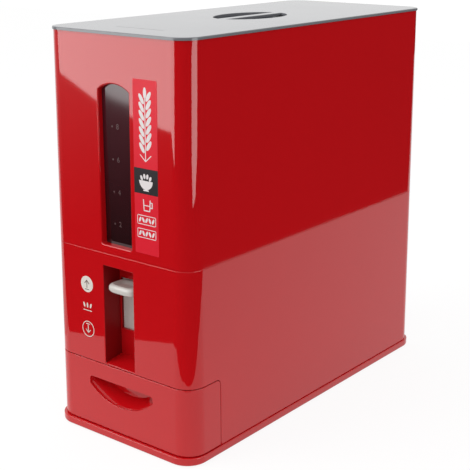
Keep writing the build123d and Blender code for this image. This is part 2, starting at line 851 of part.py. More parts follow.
with BuildPart() as drawer_tray:
    tray_front = front_y + wall + tray_front_gap
    box_between(
        (-tray_half_width, tray_front, runner_top),
        (tray_half_width, tray_front + drawer_length, runner_top + tray_height),
    )
    fillet(drawer_tray.edges().filter_by(Axis.Z).sort_by(Axis.Y)[-2:], tray_back_corner)
    # Hollow from above, and open in front, where the drawer's face closes it.
    box_between(
        (-tray_half_width + tray_wall, tray_front - deep_cut / 2, runner_top + tray_wall),
        (tray_half_width - tray_wall, tray_front + drawer_length - tray_wall, drawer_top),
        Mode.SUBTRACT,
    )
    case_block(foot_proud, drawer_top, wall + tray_skin_gap, Mode.INTERSECT)

# ---------------------------------------------------------------- lid

lid_w, lid_d, lid_c = case_rectangle(rim_height, -lid_overhang)

with BuildPart() as lid_plate:
    with BuildSketch(Plane.XY.offset(rim_height)):
        RectangleRounded(lid_w, lid_d, lid_c)
    extrude(amount=lid_edge)
    fillet(lid_plate.faces().sort_by(Axis.Z)[-1].edges(), lid_edge_round)
    # Skirt that drops inside the tank.
    with BuildSketch(Plane.XY.offset(rim_height)):
        RectangleRounded(*case_rectangle(rim_height, wall + lid_skirt_gap))
        RectangleRounded(
            *case_rectangle(rim_height, wall + lid_skirt_gap + lid_skirt_wall), mode=Mode.SUBTRACT
        )
    extrude(amount=-lid_skirt_depth)
    # Two crescents either side of the grip bar.
    with BuildSketch(Plane.XY.offset(rim_height)):
        Ellipse(grip_half_width, grip_half_length)
        Rectangle(grip_bar_width, 2 * grip_half_length + through, mode=Mode.SUBTRACT)
    extrude(amount=lid_edge, mode=Mode.SUBTRACT)
    # Shallow line across the lid near its front.
    with BuildSketch(Plane.XY.offset(overall_height)):
        with Locations((0, front_y + lid_line_setback)):
            Rectangle(lid_line_length, lid_line_width)
    extrude(amount=-lid_line_depth, mode=Mode.SUBTRACT)

with BuildPart() as lid_bowl:
    with BuildSketch(Plane.XY.offset(rim_height)):
        Ellipse(grip_half_width + bowl_flange, grip_half_length + bowl_flange)
    extrude(amount=-bowl_wall)
    for thickness, mode in ((bowl_wall, Mode.ADD), (0, Mode.SUBTRACT)):
        with BuildSketch(Plane.XY.offset(rim_height - bowl_depth - thickness)):
            Ellipse(grip_half_width + thickness - bowl_taper, grip_half_length + thickness - bowl_taper)
        with BuildSketch(Plane.XY.offset(rim_height)):
            Ellipse(grip_half_width + thickness, grip_half_length + thickness)
        loft(mode=mode)

with BuildPart() as lid_seal:
    with BuildSketch(Plane.XY.offset(rim_height - seal_drop)):
        RectangleRounded(*case_rectangle(rim_height - seal_drop, wall + seal_gap))
        RectangleRounded(*case_rectangle(rim_height, wall + lid_skirt_gap), mode=Mode.SUBTRACT)
    extrude(amount=seal_height)

# ---------------------------------------------------------------- export

for piece, label in (
    (base_tray, "base_tray"), (rubber_feet, "rubber_feet"), (lower_case, "lower_case"),
    (upper_case, "upper_case"), (window_panel, "window_panel"), (window_frame, "window_frame"),
    (scale_marks, "scale_marks"), (label_panel, "label_panel"), (label_band, "label_band"),
    (mark_measure, "mark_measure"), (mark_release, "mark_release"), (hopper_funnel, "hopper_funnel"),
    (drum_housing, "drum_housing"), (housing_screws, "housing_screws"), (measuring_drum, "measuring_drum"),
    (drum_pinion, "drum_pinion"), (drum_clip, "drum_clip"), (lever_pad, "lever_pad"),
    (lever_slide, "lever_slide"), (return_spring, "return_spring"), (drawer_front, "drawer_front"),
    (handle_scoop, "handle_scoop"), (drawer_tray, "drawer_tray"), (lid_plate, "lid_plate"),
    (lid_bowl, "lid_bowl"), (lid_seal, "lid_seal"),
):
    print(label, len(piece.part.solids()), round(piece.part.volume / 1000, 2))
    save(piece.part, label)
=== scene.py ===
import json
from math import cos, pi, radians, sin, tan

import bmesh
import bpy
from mathutils import Matrix, Vector

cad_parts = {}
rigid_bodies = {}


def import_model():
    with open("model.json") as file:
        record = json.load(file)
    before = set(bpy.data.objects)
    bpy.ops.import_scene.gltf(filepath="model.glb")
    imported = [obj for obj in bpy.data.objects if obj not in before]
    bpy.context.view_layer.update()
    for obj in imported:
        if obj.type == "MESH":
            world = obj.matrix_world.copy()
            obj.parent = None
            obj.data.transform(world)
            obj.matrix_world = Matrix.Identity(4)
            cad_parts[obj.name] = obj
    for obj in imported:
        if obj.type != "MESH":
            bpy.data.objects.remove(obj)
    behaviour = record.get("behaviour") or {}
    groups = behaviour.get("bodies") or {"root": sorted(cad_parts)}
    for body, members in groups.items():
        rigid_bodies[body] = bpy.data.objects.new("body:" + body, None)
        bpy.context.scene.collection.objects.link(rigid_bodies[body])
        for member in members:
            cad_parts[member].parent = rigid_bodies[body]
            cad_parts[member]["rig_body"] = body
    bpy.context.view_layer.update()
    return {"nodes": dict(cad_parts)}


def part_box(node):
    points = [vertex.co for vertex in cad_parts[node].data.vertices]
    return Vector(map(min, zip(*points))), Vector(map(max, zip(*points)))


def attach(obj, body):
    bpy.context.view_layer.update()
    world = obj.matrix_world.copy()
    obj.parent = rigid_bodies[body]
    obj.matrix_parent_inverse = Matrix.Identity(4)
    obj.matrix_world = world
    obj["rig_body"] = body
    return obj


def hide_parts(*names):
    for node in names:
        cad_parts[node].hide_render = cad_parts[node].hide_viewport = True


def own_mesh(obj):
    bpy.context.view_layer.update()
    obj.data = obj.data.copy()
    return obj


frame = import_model()
nodes = frame["nodes"]

# ---- Camera
# A long lens a little above the object, looking at its front right corner. It stands where the edges of
# the photographed case put it.
camera_data = bpy.data.cameras.new("camera")
camera_data.lens = 83.27
camera_data.sensor_width = 36
camera_data.clip_end = 50
camera = bpy.data.objects.new("camera", camera_data)
turn, tilt = radians(38.61), radians(16.53)
backwards = Vector((sin(turn) * cos(tilt), -cos(turn) * cos(tilt), sin(tilt)))
camera.location = (0.6572, -0.8469, 0.4760)
camera.rotation_euler = backwards.to_track_quat("Z", "Y").to_euler()
bpy.context.scene.collection.objects.link(camera)
bpy.context.scene.camera = camera
bpy.context.scene.view_settings.view_transform = "Standard"

# ---- Table and floor
# The object stands on a white sheet with a rounded front corner, on a studio floor. The camera sees both as
# white paper with a faint shadow. In gloss the sheet is white, and the floor dark and paler far to the left.


def seen_directly(tree):
    """A value that is 1 where the camera, gloss or glass sees a surface, and 0 where it only gives light."""
    rays = tree.nodes.new("ShaderNodeLightPath")
    seen, seen_through = tree.nodes.new("ShaderNodeMath"), tree.nodes.new("ShaderNodeMath")
    seen.operation = seen_through.operation = "MAXIMUM"
    tree.links.new(rays.outputs["Is Camera Ray"], seen.inputs[0])
    tree.links.new(rays.outputs["Is Glossy Ray"], seen.inputs[1])
    tree.links.new(seen.outputs[0], seen_through.inputs[0])
    tree.links.new(rays.outputs["Is Transmission Ray"], seen_through.inputs[1])
    return seen_through.outputs[0]


def studio_surface(name, colour, paper_share=0.85):
    """A matt surface that the camera, gloss and glass see mostly as white paper."""
    material = bpy.data.materials.new(name)
    material.use_nodes = True
    tree = material.node_tree
    surface = tree.nodes["Principled BSDF"]
    surface.inputs["Base Color"].default_value = (*colour, 1)
    surface.inputs["Roughness"].default_value = 0.9
    surface.inputs["Specular IOR Level"].default_value = 0.0
    paper, share = tree.nodes.new("ShaderNodeEmission"), tree.nodes.new("ShaderNodeMath")
    paper.inputs["Strength"].default_value = 1.05
    share.operation = "MULTIPLY"
    share.inputs[1].default_value = paper_share
    mix = tree.nodes.new("ShaderNodeMixShader")
    tree.links.new(seen_directly(tree), share.inputs[0])
    tree.links.new(share.outputs[0], mix.inputs["Fac"])
    tree.links.new(surface.outputs["BSDF"], mix.inputs[1])
    tree.links.new(paper.outputs["Emission"], mix.inputs[2])
    tree.links.new(mix.outputs["Shader"], tree.nodes["Material Output"].inputs["Surface"])
    return material


def gloss_level(material, near, far, near_level, far_level):
    """Give a studio surface its own level in reflections, which changes from near to far along X."""
    tree = material.node_tree
    output = tree.nodes["Material Output"].inputs["Surface"]
    before = output.links[0].from_socket
    place, split = tree.nodes.new("ShaderNodeTexCoord"), tree.nodes.new("ShaderNodeSeparateXYZ")
    ramp, paper = tree.nodes.new("ShaderNodeMapRange"), tree.nodes.new("ShaderNodeEmission")
    rays, mix = tree.nodes.new("ShaderNodeLightPath"), tree.nodes.new("ShaderNodeMixShader")
    ramp.inputs["From Min"].default_value = near
    ramp.inputs["From Max"].default_value = far
    ramp.inputs["To Min"].default_value = near_level
    ramp.inputs["To Max"].default_value = far_level
    tree.links.new(place.outputs["Object"], split.inputs["Vector"])
    tree.links.new(split.outputs["X"], ramp.inputs["Value"])
    tree.links.new(ramp.outputs["Result"], paper.inputs["Strength"])
    tree.links.new(rays.outputs["Is Glossy Ray"], mix.inputs["Fac"])
    tree.links.new(before, mix.inputs[1])
    tree.links.new(paper.outputs["Emission"], mix.inputs[2])
    tree.links.new(mix.outputs["Shader"], output)
    return material


def flat_sheet(name, outline, height, material):
    """One upward-facing face round an outline."""
    mesh = bpy.data.meshes.new(name)
    work = bmesh.new()
    sheet_face = work.faces.new([work.verts.new((x, y, height)) for x, y in outline])
    sheet_face.normal_update()
    if sheet_face.normal.z < 0:
        sheet_face.normal_flip()
    work.to_mesh(mesh)
    work.free()
    mesh.materials.append(material)
    sheet = bpy.data.objects.new(name, mesh)
    bpy.context.scene.collection.objects.link(sheet)


paper_white, floor_pale = (0.88, 0.88, 0.88), (0.55, 0.55, 0.55)
sheet_left, sheet_front, sheet_right, sheet_back = -0.30, -0.34, 0.46, 3.0
far_left, floor_reach, floor_height = -7.0, 14, -0.003
flat_sheet("studio_sheet", [
    (sheet_left, sheet_front), (-0.16, -0.40), (-0.04, -0.455), (0.14, -0.365), (0.30, -0.22), (0.40, -0.12),
    (sheet_right, 0.05), (sheet_right, sheet_back), (sheet_left, sheet_back),
], 0.0, studio_surface("sheet white", paper_white))
flat_sheet("studio_sheet_left", [
    (far_left, sheet_front), (sheet_left, sheet_front), (sheet_left, sheet_back), (far_left, sheet_back),
], 0.0, gloss_level(studio_surface("sheet white left", paper_white), sheet_left, -0.60, 0.65, 1.0))
flat_sheet("studio_floor", [
    (-floor_reach, -floor_reach), (floor_reach, -floor_reach),
    (floor_reach, floor_reach), (-floor_reach, floor_reach),
], floor_height, gloss_level(studio_surface("floor pale", floor_pale, 0.98), -0.6, -2.3, 0.03, 0.44))

# ---- Light
# Even light from all round, and one large soft lamp high at the front left. Two soft panels stand low at the
# front and at the right, and run down the rounded front corner as bright strips.
world = bpy.data.worlds.new("studio")
world.use_nodes = True
sky = world.node_tree
sky_light, sky_white = sky.nodes["Background"], sky.nodes.new("ShaderNodeBackground")
sky_light.inputs["Color"].default_value = sky_white.inputs["Color"].default_value = (1, 1, 1, 1)
sky_light.inputs["Strength"].default_value = 0.78
sky_mix = sky.nodes.new("ShaderNodeMixShader")
sky.links.new(seen_directly(sky), sky_mix.inputs["Fac"])
sky.links.new(sky_light.outputs["Background"], sky_mix.inputs[1])
sky.links.new(sky_white.outputs["Background"], sky_mix.inputs[2])
sky.links.new(sky_mix.outputs["Shader"], sky.nodes["World Output"].inputs["Surface"])
bpy.context.scene.world = world

key_lamp = bpy.data.lights.new("key", "AREA")
key_lamp.shape = "RECTANGLE"
key_lamp.size = key_lamp.size_y = 1.3
key_lamp.energy = 14
key = bpy.data.objects.new("key", key_lamp)
key.location = (-0.85, -1.20, 1.75)
key_aim = Vector((0, 0, 0.2))
key.rotation_euler = (key.location - key_aim).to_track_quat("Z", "Y").to_euler()
bpy.context.scene.collection.objects.link(key)

front_corner = Vector((0.068, -0.186, 0))


def soft_panel(name, facing, distance, outline, glow):
    """A glowing panel seen only in gloss. Its outline is in degrees round from the front, and height."""
    out = Vector((sin(radians(facing)), -cos(radians(facing)), 0))
    across = Vector((cos(radians(facing)), sin(radians(facing)), 0))
    mesh = bpy.data.meshes.new(name)
    work = bmesh.new()
    corners = []
    for bearing, height in outline:
        sideways = across * distance * tan(radians(bearing - facing))
        corners.append(work.verts.new(front_corner + out * distance + sideways + Vector((0, 0, height))))
    work.faces.new(corners)
    work.to_mesh(mesh)
    work.free()
    material = bpy.data.materials.new(name)
    material.use_nodes = True
    tree = material.node_tree
    tree.nodes.remove(tree.nodes["Principled BSDF"])
    clear, lit = tree.nodes.new("ShaderNodeBsdfTransparent"), tree.nodes.new("ShaderNodeEmission")
    rays, mix = tree.nodes.new("ShaderNodeLightPath"), tree.nodes.new("ShaderNodeMixShader")
    lit.inputs["Strength"].default_value = glow
    tree.links.new(rays.outputs["Is Glossy Ray"], mix.inputs["Fac"])
    tree.links.new(clear.outputs["BSDF"], mix.inputs[1])
    tree.links.new(lit.outputs["Emission"], mix.inputs[2])
    tree.links.new(mix.outputs["Shader"], tree.nodes["Material Output"].inputs["Surface"])
    mesh.materials.append(material)
    panel = bpy.data.objects.new(name, mesh)
    bpy.context.scene.collection.objects.link(panel)


soft_panel("front_panel", -31, 1.0, [
    (-57, 0.95), (-57, 0.27), (-48, 0.16), (-42, 0.12), (-22, 0.06), (-15, 0.31), (-15, 0.95),
], 4.6)
soft_panel("side_panel", 100, 0.8, [
    (78, 0.10), (80, 0.03), (96, 0.06), (112, 0.13), (127, 0.32), (127, 0.80), (88, 0.80), (88, 0.33),
], 4.2)

# ---- Base
# A shallow red tray under the case, moulded from the same glossy plastic as the shells. The case sits in
# it, and four rubber feet are let into its underside.


def moulded_skin():
    """The shared group: colour, roughness and normal of a moulded surface."""
    group = bpy.data.node_groups.new("moulded skin", "ShaderNodeTree")
    for name, kind, value in (
        ("Colour", "NodeSocketColor", (0.5, 0.5, 0.5, 1)),
        ("Deep Colour", "NodeSocketColor", (0.4, 0.4, 0.4, 1)),
        ("Roughness", "NodeSocketFloat", 0.15),
        ("Uneven Gloss", "NodeSocketFloat", 0.05),
        ("Warp", "NodeSocketFloat", 0.1),
        ("Ripple", "NodeSocketFloat", 0.02),
        ("Ripple Scale", "NodeSocketFloat", 260.0),
    ):
        group.interface.new_socket(name, in_out="INPUT", socket_type=kind).default_value = value
    for name, kind in (
        ("Colour", "NodeSocketColor"), ("Roughness", "NodeSocketFloat"), ("Normal", "NodeSocketVector"),
    ):
        group.interface.new_socket(name, in_out="OUTPUT", socket_type=kind)
    add, link = group.nodes.new, group.links.new
    given, result, place = add("NodeGroupInput"), add("NodeGroupOutput"), add("ShaderNodeTexCoord")
    broad, fine = add("ShaderNodeTexNoise"), add("ShaderNodeTexNoise")
    broad.inputs["Scale"].default_value = 14
    broad.inputs["Detail"].default_value = 1.5
    fine.inputs["Detail"].default_value = 2
    link(place.outputs["Object"], broad.inputs["Vector"])
    link(place.outputs["Object"], fine.inputs["Vector"])
    link(given.outputs["Ripple Scale"], fine.inputs["Scale"])
    tint = add("ShaderNodeMix")
    tint.data_type = "RGBA"
    link(broad.outputs["Fac"], tint.inputs["Factor"])
    link(given.outputs["Colour"], tint.inputs["A"])
    link(given.outputs["Deep Colour"], tint.inputs["B"])
    link(tint.outputs["Result"], result.inputs["Colour"])
    gloss = add("ShaderNodeMath")
    gloss.operation = "MULTIPLY_ADD"
    link(broad.outputs["Fac"], gloss.inputs[0])
    link(given.outputs["Uneven Gloss"], gloss.inputs[1])
    link(given.outputs["Roughness"], gloss.inputs[2])
    link(gloss.outputs[0], result.inputs["Roughness"])
    warp, peel = add("ShaderNodeBump"), add("ShaderNodeBump")
    warp.inputs["Distance"].default_value = 0.001
    peel.inputs["Distance"].default_value = 0.0002
    link(given.outputs["Warp"], warp.inputs["Strength"])
    link(broad.outputs["Fac"], warp.inputs["Height"])
    link(given.outputs["Ripple"], peel.inputs["Strength"])
    link(fine.outputs["Fac"], peel.inputs["Height"])
    link(warp.outputs["Normal"], peel.inputs["Normal"])
    link(peel.outputs["Normal"], result.inputs["Normal"])
    return group


skin = moulded_skin()


def plastic(
    name, colour, deep, roughness, uneven=0.05, warp=0.0, ripple=0.03, ripple_scale=260, specular=0.5,
):
    """A moulded surface with its own colour and gloss."""
    material = bpy.data.materials.new(name)
    material.use_nodes = True
    tree = material.node_tree
    surface = tree.nodes["Principled BSDF"]
    surface.inputs["Specular IOR Level"].default_value = specular
    finish = tree.nodes.new("ShaderNodeGroup")
    finish.name = "finish"
    finish.node_tree = skin
    for socket, value in (
        ("Colour", (*colour, 1)), ("Deep Colour", (*deep, 1)), ("Roughness", roughness),
        ("Uneven Gloss", uneven), ("Warp", warp), ("Ripple", ripple), ("Ripple Scale", ripple_scale),
    ):
        finish.inputs[socket].default_value = value
    tree.links.new(finish.outputs["Colour"], surface.inputs["Base Color"])
    tree.links.new(finish.outputs["Roughness"], surface.inputs["Roughness"])
    tree.links.new(finish.outputs["Normal"], surface.inputs["Normal"])
    return material


case_low, case_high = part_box("lower_case")
case_half_width, case_half_depth = case_high[0], case_high[1]
case_corner, case_lean = 0.020, 0.01
skin_tolerance, upright_tolerance = 0.0005, 0.2


def depth_in_case(point):
    """How far a point lies outside the case's rounded, tapering outline; negative is inside it."""
    narrowing = (point.z - case_low[2]) * case_lean
    corner = case_corner - narrowing
    over_x = abs(point.x) - (case_half_width - narrowing - corner)
    over_y = abs(point.y) - (case_half_depth - narrowing - corner)
    return Vector((max(over_x, 0), max(over_y, 0))).length + min(max(over_x, over_y), 0) - corner


def on_skin(panel):
    """Whether a face belongs to the case's outer skin."""
    at_surface = depth_in_case(panel.calc_center_median()) > -skin_tolerance
    return abs(panel.normal.z) < upright_tolerance and at_surface


def skin_rim(edge):
    """Whether an edge bounds the outer skin, where the skin turns inwards."""
    return len(edge.link_faces) == 2 and on_skin(edge.link_faces[0]) != on_skin(edge.link_faces[1])


def rounded_copy(node, name, material, *rounds):
    """A copy of a CAD node that stands for it. Each round is a radius, its steps and which edges it takes."""
    bevel_from, smooth_below = radians(28), radians(40)
    mesh = nodes[node].data.copy()
    mesh.name = name
    work = bmesh.new()
    work.from_mesh(mesh)
    bmesh.ops.remove_doubles(work, verts=work.verts, dist=1e-6)
    bmesh.ops.dissolve_limit(work, angle_limit=radians(0.3), verts=work.verts, edges=work.edges)
    for radius, steps, takes in rounds:
        sharp = [edge for edge in work.edges if edge.calc_face_angle(0) > bevel_from and takes(edge)]
        bmesh.ops.bevel(
            work, geom=sharp, offset=radius, offset_type="OFFSET", segments=steps, profile=0.5,
            affect="EDGES", clamp_overlap=True, material=-1,
        )
    for panel in work.faces:
        panel.smooth = True
    for edge in work.edges:
        edge.smooth = edge.calc_face_angle(0) < smooth_below
    work.to_mesh(mesh)
    work.free()
    mesh.materials.clear()
    mesh.materials.append(material)
    piece = bpy.data.objects.new(name, mesh)
    bpy.context.scene.collection.objects.link(piece)
    level = piece.modifiers.new("even shading", "WEIGHTED_NORMAL")
    level.mode = "FACE_AREA"
    level.weight = 100
    level.keep_sharp = True
    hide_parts(node)
    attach(piece, nodes[node]["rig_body"])
    return piece


def finish_node(node, material):
    """Give a CAD node its own material."""
    nodes[node].data.materials.clear()
    nodes[node].data.materials.append(material)


red_shell = plastic(
    "red shell", (0.60, 0.0050, 0.0085), (0.585, 0.0046, 0.0080), 0.025, 0.02, warp=0.02, ripple=0.01,
)
rounded_copy("base_tray", "base", red_shell)
rubber = plastic(
    "black rubber", (0.02, 0.02, 0.02), (0.03, 0.03, 0.03), 0.6, 0.1, ripple=0.2, ripple_scale=900,
)
finish_node("rubber_feet", rubber)

# ---- Lower case
# One red moulding with the lever recess sunk into its front. Its top edge is rounded, and shows as a light
# line under the tank.
seam = case_high[2]


def seam_rim(edge):
    """Whether a rim edge lies at the top of the lower case."""
    return skin_rim(edge) and min(end.co.z for end in edge.verts) > seam - 0.001


lower_shell = rounded_copy(
    "lower_case", "lower_shell", red_shell,
    (0.0005, 3, seam_rim),
    (0.0007, 3, lambda edge: skin_rim(edge) and not seam_rim(edge)),
)
# The side walls and the ceiling of the recess are a duller red than the outside, and painted darker: painted
# shade for the little light that reaches into the recess.
recess_red_painted_shade = plastic(
    "recess red painted shade", (0.26, 0.0030, 0.0050), (0.23, 0.0026, 0.0045), 0.38, 0.08, ripple=0.15, specular=0.2,
)
lower_shell.data.materials.append(recess_red_painted_shade)
recess_half_width, recess_back, rim_depth = 0.022, -0.15, 0.0009
# Faces behind the rim that face sideways or down take the darker red of painted shade.
for panel in lower_shell.data.polygons:
    middle, way = panel.center, panel.normal
    behind_rim = depth_in_case(middle) < -rim_depth
    if behind_rim and abs(middle.x) < recess_half_width and middle.y < recess_back:
        if abs(way.x) > 0.5 or way.z < -0.5:
            panel.material_index = 1

# ---- Tank
# The upper case is one red moulding that tapers to the rim, with an arched window in its front. The edge of
# the window is rounded, and catches the light.
tank_foot, under_rim = seam + 0.004, 0.345
rounded_copy(
    "upper_case", "upper_shell", red_shell,
    (0.0012, 5, lambda edge: skin_rim(edge) and tank_foot < min(end.co.z for end in edge.verts) < under_rim),
    (0.0003, 2, lambda edge: skin_rim(edge) and max(end.co.z for end in edge.verts) < tank_foot),
)

# ---- Window
# A strip of smoked clear plastic behind the arched hole, held by a red frame inside the tank. A dot and a
# numeral are printed on it for each level.
smoke = plastic("smoked window", (0.022, 0.0052, 0.0062), (0.018, 0.0046, 0.0056), 0.06, 0.02, ripple=0.01)
smoke_tree = smoke.node_tree
add_smoke, link_smoke = smoke_tree.nodes.new, smoke_tree.links.new
# Painted light: the smoked colour turns a lighter maroon towards the top of the panel, standing in for the
# lit tank seen through it.
smoke_place, smoke_split = add_smoke("ShaderNodeTexCoord"), add_smoke("ShaderNodeSeparateXYZ")
smoke_painted_light_rise, smoke_painted_light_mix = add_smoke("ShaderNodeMapRange"), add_smoke("ShaderNodeMix")
window_low, window_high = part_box("window_panel")
smoke_painted_light_rise.inputs["From Min"].default_value = window_low[2]
smoke_painted_light_rise.inputs["From Max"].default_value = window_high[2]
smoke_painted_light_mix.data_type = "RGBA"
smoke_painted_light_mix.inputs["B"].default_value = (0.068, 0.0105, 0.0165, 1)
link_smoke(smoke_place.outputs["Object"], smoke_split.inputs["Vector"])
link_smoke(smoke_split.outputs["Z"], smoke_painted_light_rise.inputs["Value"])
link_smoke(smoke_painted_light_rise.outputs["Result"], smoke_painted_light_mix.inputs["Factor"])
link_smoke(smoke_tree.nodes["finish"].outputs["Colour"], smoke_painted_light_mix.inputs["A"])
link_smoke(smoke_painted_light_mix.outputs["Result"], smoke_tree.nodes["Principled BSDF"].inputs["Base Color"])
finish_node("window_panel", smoke)
finish_node("window_frame", red_shell)
print_faint = plastic("faint print", (0.100, 0.050, 0.052), (0.090, 0.045, 0.047), 0.4)
print_thickness, oval_sides = 0.0001, 28


def printed(name, piece, material):
    """Finish a thin printed piece: bake its place into its mesh, and hand it to the frame."""
    piece.name = piece.data.name = name
    piece.data.transform(piece.matrix_basis)
    piece.matrix_basis = Matrix.Identity(4)
    piece.data.materials.clear()
    piece.data.materials.append(material)
    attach(piece, "case")
    return piece


def standing(work, name, x, z, y):
    """An object from a bmesh drawn flat in XY, stood up to face the front at a place."""
    bmesh.ops.recalc_face_normals(work, faces=work.faces)
    mesh = bpy.data.meshes.new(name)
    work.to_mesh(mesh)
    work.free()
    piece = bpy.data.objects.new(name, mesh)
    piece.matrix_basis = Matrix.Translation((x, y, z)) @ Matrix.Rotation(pi / 2, 4, "X")
    bpy.context.scene.collection.objects.link(piece)
    return piece


def chip_place(x, y, width, height, lean, lift):
    """Where a flat chip of unit size goes in a drawing, and how large it becomes."""
    place = Matrix.Translation((x, y, print_thickness / 2 + lift)) @ Matrix.Rotation(lean, 4, "Z")
    return place @ Matrix.Diagonal((width, height, print_thickness, 1))


def oval(work, x, y, half_width, half_height, lean=0.0, lift=0.0):
    """A flat oval chip in a drawing."""
    place = chip_place(x, y, half_width, half_height, lean, lift)
    bmesh.ops.create_cone(
        work, cap_ends=True, segments=oval_sides, radius1=1, radius2=1, depth=1, matrix=place,
    )


def bar(work, x, y, width, height, lean=0.0, lift=0.0):
    """A flat bar chip in a drawing."""
    bmesh.ops.create_cube(work, size=1, matrix=chip_place(x, y, width, height, lean, lift))


window_face = window_low[1]
marks_low, marks_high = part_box("scale_marks")
level_numerals, numeral_size = "2468", 0.0068
dot_radius, dot_x, numeral_x, end_margin = 0.0009, -0.0076, -0.0012, 0.0011
scale_base = marks_low[2] + end_margin
scale_step = (marks_high[2] - marks_low[2] - 2 * end_margin) / (len(level_numerals) - 1)
dots = bmesh.new()
for step in range(len(level_numerals)):
    oval(dots, 0, step * scale_step, dot_radius, dot_radius)
dot_print = printed("scale_dots", standing(dots, "scale_dots", dot_x, scale_base, window_face), print_faint)
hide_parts("scale_marks")
for step, numeral in enumerate(level_numerals):
    words = bpy.data.curves.new("scale_" + numeral, "FONT")
    words.body = numeral
    words.size = numeral_size
    words.extrude = print_thickness / 2
    words.align_x = "CENTER"
    words.align_y = "CENTER"
    sign = bpy.data.objects.new("scale_sign_" + numeral, words)
    bpy.context.scene.collection.objects.link(sign)
    bpy.context.view_layer.update()
    flat = bpy.data.objects.new(
        "scale_numeral_" + numeral,
        bpy.data.meshes.new_from_object(sign.evaluated_get(bpy.context.evaluated_depsgraph_get())),
    )
    bpy.context.scene.collection.objects.link(flat)
    bpy.data.objects.remove(sign)
    numeral_place = (numeral_x, window_face - print_thickness / 2, scale_base + step * scale_step)
    flat.matrix_basis = Matrix.Translation(numeral_place) @ Matrix.Rotation(pi / 2, 4, "X")
    printed("scale_numeral_" + numeral, flat, print_faint)

# ---- Label
# A long upright sticker beside the window, printed pink-red with a dark band. It carries only plain shapes:
# an ear of rice up the pink, a bowl on the band, and a cup and two framed rows of grains below.
label_pink = plastic(
    "label pink", (0.80, 0.0105, 0.030), (0.78, 0.010, 0.028), 0.30, 0.05, ripple=0.02, specular=0.3,
)
label_dark = plastic("label dark", (0.016, 0.012, 0.014), (0.013, 0.010, 0.012), 0.30, specular=0.3)
label_white = plastic("label white", (0.88, 0.82, 0.82), (0.85, 0.80, 0.80), 0.35)
finish_node("label_panel", label_pink)
finish_node("label_band", label_dark)
label_low, label_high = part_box("label_panel")
band_low, band_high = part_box("label_band")
label_middle = (label_low[0] + label_high[0]) / 2


def draw_ear(work, foot, top):
    """An ear of rice: a stem with two leaves at its foot, leaning grains in pairs, and one at the top."""
    pairs, pair_spread, pair_offset, grain_lean = 7, 0.0040, 0.0012, 0.55
    lowest, stem_top = foot + 0.0130, top - 0.0040
    bar(work, 0, (foot + stem_top) / 2, 0.0009, stem_top - foot)
    for pair in range(pairs):
        height = lowest + (stem_top - lowest) * pair / (pairs - 1)
        for side in (-1, 1):
            oval(work, side * pair_spread, height + side * pair_offset, 0.0019, 0.0050, -side * grain_lean)
    oval(work, 0, top, 0.0018, 0.0048)
    leaf_spread, leaf_rise, leaf_lean = 0.0034, 0.0032, 0.85
    for side in (-1, 1):
        bar(work, side * leaf_spread, foot + leaf_rise, 0.0008, 0.0080, -side * leaf_lean)


def draw_bowl(work, middle):
    """A bowl on a short foot, heaped with four grains. It is lifted clear of the dark band."""
    bowl_radius, bowl_rise, clear_of_band = 0.0078, 0.0006, 0.00008
    bowl = bmesh.new()
    bmesh.ops.create_circle(bowl, cap_ends=True, segments=48, radius=bowl_radius)
    disc = bowl.verts[:] + bowl.edges[:] + bowl.faces[:]
    bmesh.ops.bisect_plane(bowl, geom=disc, plane_co=(0, 0, 0), plane_no=(0, 1, 0), clear_outer=True)
    grown = bmesh.ops.extrude_face_region(bowl, geom=bowl.faces[:])["geom"]
    raised = [item for item in grown if isinstance(item, bmesh.types.BMVert)]
    bmesh.ops.translate(bowl, verts=raised, vec=(0, 0, print_thickness))
    bmesh.ops.translate(bowl, verts=bowl.verts, vec=(0, middle + bowl_rise, clear_of_band))
    bowl_mesh = bpy.data.meshes.new("label_bowl")
    bowl.to_mesh(bowl_mesh)
    bowl.free()
    work.from_mesh(bowl_mesh)
    bpy.data.meshes.remove(bowl_mesh)
    bar(work, 0, middle - bowl_radius, 0.0062, 0.0012, lift=clear_of_band)
    for x, heap in ((-0.0050, 0.0028), (-0.0017, 0.0044), (0.0017, 0.0044), (0.0050, 0.0028)):
        oval(work, x, middle + heap, 0.0013, 0.0023, -x * 90, lift=clear_of_band)


def draw_cup(work, middle):
    """A measuring cup: two leaning walls, a floor, a level line, and a handle of three strokes."""
    stroke, cup_height, wall_lean, inside_middle = 0.0010, 0.0100, 0.06, 0.0006
    bar(work, inside_middle - 0.0036, middle, stroke, cup_height, wall_lean)
    bar(work, inside_middle + 0.0036, middle, stroke, cup_height, -wall_lean)
    bar(work, inside_middle, middle - 0.0048, 0.0070, stroke)
    bar(work, inside_middle, middle - 0.0002, 0.0068, 0.0008)
    bar(work, 0.0068, middle + 0.0006, stroke, 0.0052)
    bar(work, 0.0056, middle + 0.0028, 0.0026, stroke)
    bar(work, 0.0052, middle - 0.0016, 0.0026, stroke)


def draw_framed_grains(work, middle):
    """Five grains in a row that lean by turns, in a thin frame."""
    stroke, half_width, half_height, grain_gap, grain_lean = 0.0006, 0.0106, 0.0039, 0.0038, 0.45
    for side in (-1, 1):
        bar(work, 0, middle + side * half_height, 2 * half_width - stroke, stroke)
        bar(work, side * half_width, middle, stroke, 2 * half_height - stroke)
    for grain in range(5):
        oval(work, (grain - 2) * grain_gap, middle, 0.0011, 0.0025, grain_lean if grain % 2 else -grain_lean)


label_print = bmesh.new()
draw_ear(label_print, band_high[2] + 0.0060, label_high[2] - 0.0110)
draw_bowl(label_print, (band_low[2] + band_high[2]) / 2)
draw_cup(label_print, band_low[2] - 0.0098)
for below_band in (0.0232, 0.0352):
    draw_framed_grains(label_print, band_low[2] - below_band)
label_shapes = printed(
    "label_shapes", standing(label_print, "label_shapes", label_middle, 0, 0), label_white,
)
for corner in label_shapes.data.vertices:
    corner.co.y += label_low[1] + (corner.co.z - label_low[2]) * case_lean

